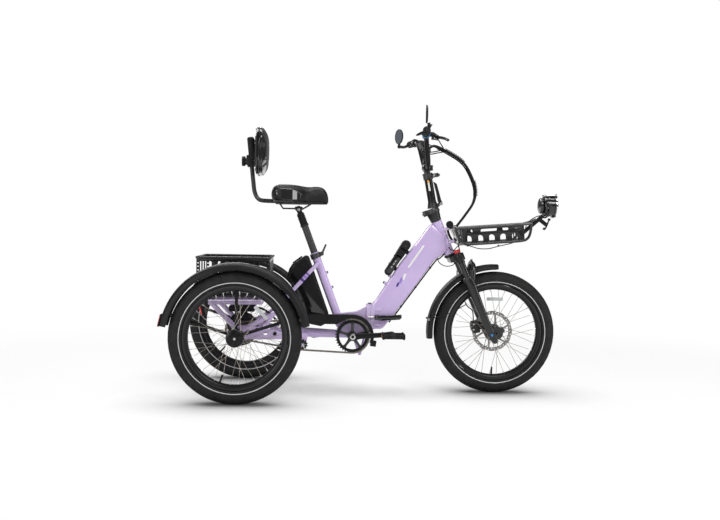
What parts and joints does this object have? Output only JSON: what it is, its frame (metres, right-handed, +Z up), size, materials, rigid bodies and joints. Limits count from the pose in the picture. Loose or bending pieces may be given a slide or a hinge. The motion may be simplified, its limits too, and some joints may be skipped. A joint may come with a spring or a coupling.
{
  "type": "adult folding tricycle",
  "caption": "Step-through folding electric tricycle with sprung fork, folding stem, battery, fenders, front rack, rear basket and padded seat with backrest.",
  "frame": {"origin": "on the ground under the middle of the tricycle's box", "axes": "+X to the front, +Y to the rider's left, +Z up"},
  "size_m": [1.6802, 0.8351, 1.2072],
  "materials": {
    "lavender": "satin lavender paint",
    "black_metal": "satin black paint",
    "black_plastic": "matte black moulding",
    "rubber": "matte black rubber",
    "tyre": "matte black tread",
    "steel": "bare steel",
    "black_alloy": "black anodised",
    "leather": "smooth black synthetic leather",
    "red_lens": "red reflector and lens"
  },
  "bodies": {
    "frame": {"rear_frame": "lavender", "seat_collar": "black_metal", "chain_guard": "black_plastic", "drive_chain": "steel", "drive_motor": "black_alloy", "controller_box": "black_plastic", "tail_light": "red_lens", "rear_fender_left": "black_plastic", "rear_fender_right": "black_plastic", "rear_basket": "black_metal"},
    "battery": {"battery": "black_plastic"},
    "seat_clamp": {"seat_clamp_lever": "black_metal"},
    "crankset": {"chainring": "black_alloy", "crank_right": "black_alloy", "crank_left": "black_alloy"},
    "right_pedal": {"pedal_right": "black_plastic"},
    "left_pedal": {"pedal_left": "black_plastic"},
    "idler": {"idler_wheel": "black_plastic"},
    "sprocket": {"rear_sprocket": "steel"},
    "rear_left_wheel": {"rear_left_tyre": "tyre", "rear_left_rim": "black_alloy", "rear_left_hub": "steel"},
    "rear_right_wheel": {"rear_right_tyre": "tyre", "rear_right_rim": "black_alloy", "rear_right_hub": "steel"},
    "front": {"front_frame": "lavender", "front_rack": "black_metal", "headlight": "black_plastic", "folding_lock": "black_plastic"},
    "frame_latch": {"frame_latch_lever": "black_metal"},
    "steering": {"fork_crown": "black_metal", "stem_base": "black_alloy", "cable_loom": "rubber"},
    "fork": {"fork_lowers": "black_metal", "front_fender": "black_plastic"},
    "front_wheel": {"front_tyre": "tyre", "front_rim": "black_alloy", "front_hub": "steel", "front_rotor": "steel"},
    "stem": {"stem_post": "black_alloy"},
    "stem_latch": {"stem_latch_lever": "black_alloy"},
    "height_clamp": {"height_clamp_lever": "black_alloy"},
    "bar": {"handlebar": "black_alloy", "grip_left": "rubber", "grip_right": "rubber", "brake_mount_left": "black_alloy", "brake_mount_right": "black_alloy", "display": "black_plastic"},
    "left_brake": {"brake_lever_left": "black_alloy"},
    "right_brake": {"brake_lever_right": "black_alloy"},
    "throttle": {"throttle_lever": "black_plastic"},
    "left_mirror": {"mirror_left": "black_plastic"},
    "right_mirror": {"mirror_right": "black_plastic"},
    "post": {"seatpost": "black_alloy"},
    "seat": {"seatpost_inner": "black_alloy", "saddle_frame": "black_metal", "saddle": "leather"},
    "backrest": {"backrest_slider": "black_metal", "backrest_pad": "leather"},
    "knob": {"backrest_knob": "black_plastic"}
  },
  "joints": [
    {"name": "frame_fold", "type": "hinge", "parent": "frame", "child": "front", "pos_m": [0.0235, 0.045, 0.322], "axis": [0, 0, 1], "range_deg": [0, 110]},
    {"name": "frame_latch", "type": "hinge", "parent": "front", "child": "frame_latch", "pos_m": [0.0495, -0.048, 0.33], "axis": [0, 0, -1], "range_deg": [0, 100]},
    {"name": "steer", "type": "hinge", "parent": "front", "child": "steering", "pos_m": [0.3385, 0, 0.68], "axis": [-0.3907, 0, 0.9205], "range_deg": [-45, 45], "deforming": ["cable_loom"]},
    {"name": "fork_travel", "type": "slide", "parent": "steering", "child": "fork", "axis": [-0.3907, 0, 0.9205], "range_m": [0, 0.045], "stiffness_N_per_m": 8000, "springref_m": -0.04},
    {"name": "front_wheel_spin", "type": "hinge", "parent": "fork", "child": "front_wheel", "pos_m": [0.5725, 0, 0.2675], "axis": [0, 1, 0], "continuous": true},
    {"name": "stem_fold", "type": "hinge", "parent": "steering", "child": "stem", "pos_m": [0.24876, 0, 0.78009], "axis": [0, -1, 0], "range_deg": [0, 90], "deforming": ["cable_loom"]},
    {"name": "stem_latch", "type": "hinge", "parent": "stem", "child": "stem_latch", "pos_m": [0.32628, 0, 0.82908], "axis": [0, 1, 0], "range_deg": [0, 110]},
    {"name": "bar_height", "type": "slide", "parent": "stem", "child": "bar", "axis": [-0.1857, 0, 0.9826], "range_m": [0, 0.08], "deforming": ["cable_loom"]},
    {"name": "height_clamp", "type": "hinge", "parent": "stem", "child": "height_clamp", "pos_m": [0.30853, 0, 0.95539], "axis": [-0.1857, 0, 0.9826], "range_deg": [0, 80]},
    {"name": "left_brake", "type": "hinge", "parent": "bar", "child": "left_brake", "pos_m": [0.2779, 0.186, 1.1014], "axis": [0, 0, 1], "range_deg": [0, 18], "stiffness_Nm_per_rad": 1, "springref_deg": -17.19},
    {"name": "right_brake", "type": "hinge", "parent": "bar", "child": "right_brake", "pos_m": [0.2779, -0.186, 1.1014], "axis": [0, 0, -1], "range_deg": [0, 18], "stiffness_Nm_per_rad": 1, "springref_deg": -17.19},
    {"name": "throttle", "type": "hinge", "parent": "bar", "child": "throttle", "pos_m": [0.2298, 0.2075, 1.1115], "axis": [0, -1, 0], "range_deg": [0, 30], "stiffness_Nm_per_rad": 0.06, "springref_deg": -17.19},
    {"name": "left_mirror", "type": "hinge", "parent": "bar", "child": "left_mirror", "pos_m": [0.218, 0.3345, 1.115], "axis": [0, 1, 0], "range_deg": [-20, 20]},
    {"name": "right_mirror", "type": "hinge", "parent": "bar", "child": "right_mirror", "pos_m": [0.218, -0.3345, 1.115], "axis": [0, 1, 0], "range_deg": [-20, 20]},
    {"name": "seat_height", "type": "slide", "parent": "frame", "child": "post", "axis": [-0.3551, 0, 0.9348], "range_m": [-0.12, 0.08]},
    {"name": "seat_clamp", "type": "hinge", "parent": "frame", "child": "seat_clamp", "pos_m": [-0.19183, -0.0145, 0.60263], "axis": [0, 1, 0], "range_deg": [0, 90]},
    {"name": "seat_suspension", "type": "slide", "parent": "post", "child": "seat", "axis": [0.3551, 0, -0.9348], "range_m": [0, 0.035], "stiffness_N_per_m": 15000, "springref_m": -0.012},
    {"name": "backrest_height", "type": "slide", "parent": "seat", "child": "backrest", "axis": [-0.0995, 0, 0.995], "range_m": [-0.03, 0.04]},
    {"name": "backrest_knob", "type": "hinge", "parent": "backrest", "child": "knob", "pos_m": [-0.5385, 0, 0.998], "axis": [1, 0, 0], "continuous": true},
    {"name": "battery_slide", "type": "slide", "parent": "frame", "child": "battery", "axis": [-0.3551, 0, 0.9348], "range_m": [0, 0.18]},
    {"name": "crank_spin", "type": "hinge", "parent": "frame", "child": "crankset", "pos_m": [-0.0555, 0, 0.248], "axis": [0, 1, 0], "continuous": true},
    {"name": "right_pedal_spin", "type": "hinge", "parent": "crankset", "child": "right_pedal", "pos_m": [0.11409, -0.142, 0.25986], "axis": [0, 1, 0], "continuous": true},
    {"name": "left_pedal_spin", "type": "hinge", "parent": "crankset", "child": "left_pedal", "pos_m": [-0.22509, 0.142, 0.23614], "axis": [0, 1, 0], "continuous": true},
    {"name": "sprocket_spin", "type": "hinge", "parent": "frame", "child": "sprocket", "pos_m": [-0.5385, -0.055, 0.2675], "axis": [0, 1, 0], "continuous": true},
    {"name": "idler_spin", "type": "hinge", "parent": "frame", "child": "idler", "pos_m": [-0.2705, -0.055, 0.209], "axis": [0, 1, 0], "continuous": true},
    {"name": "rear_left_spin", "type": "hinge", "parent": "frame", "child": "rear_left_wheel", "pos_m": [-0.5385, 0.34, 0.2675], "axis": [0, 1, 0], "continuous": true},
    {"name": "rear_right_spin", "type": "hinge", "parent": "frame", "child": "rear_right_wheel", "pos_m": [-0.5385, -0.34, 0.2675], "axis": [0, 1, 0], "continuous": true}
  ],
  "couplings": [
    {"joint": "sprocket_spin", "follows": "crank_spin", "ratio": 2},
    {"joint": "idler_spin", "follows": "crank_spin", "ratio": 3.2727}
  ]
}
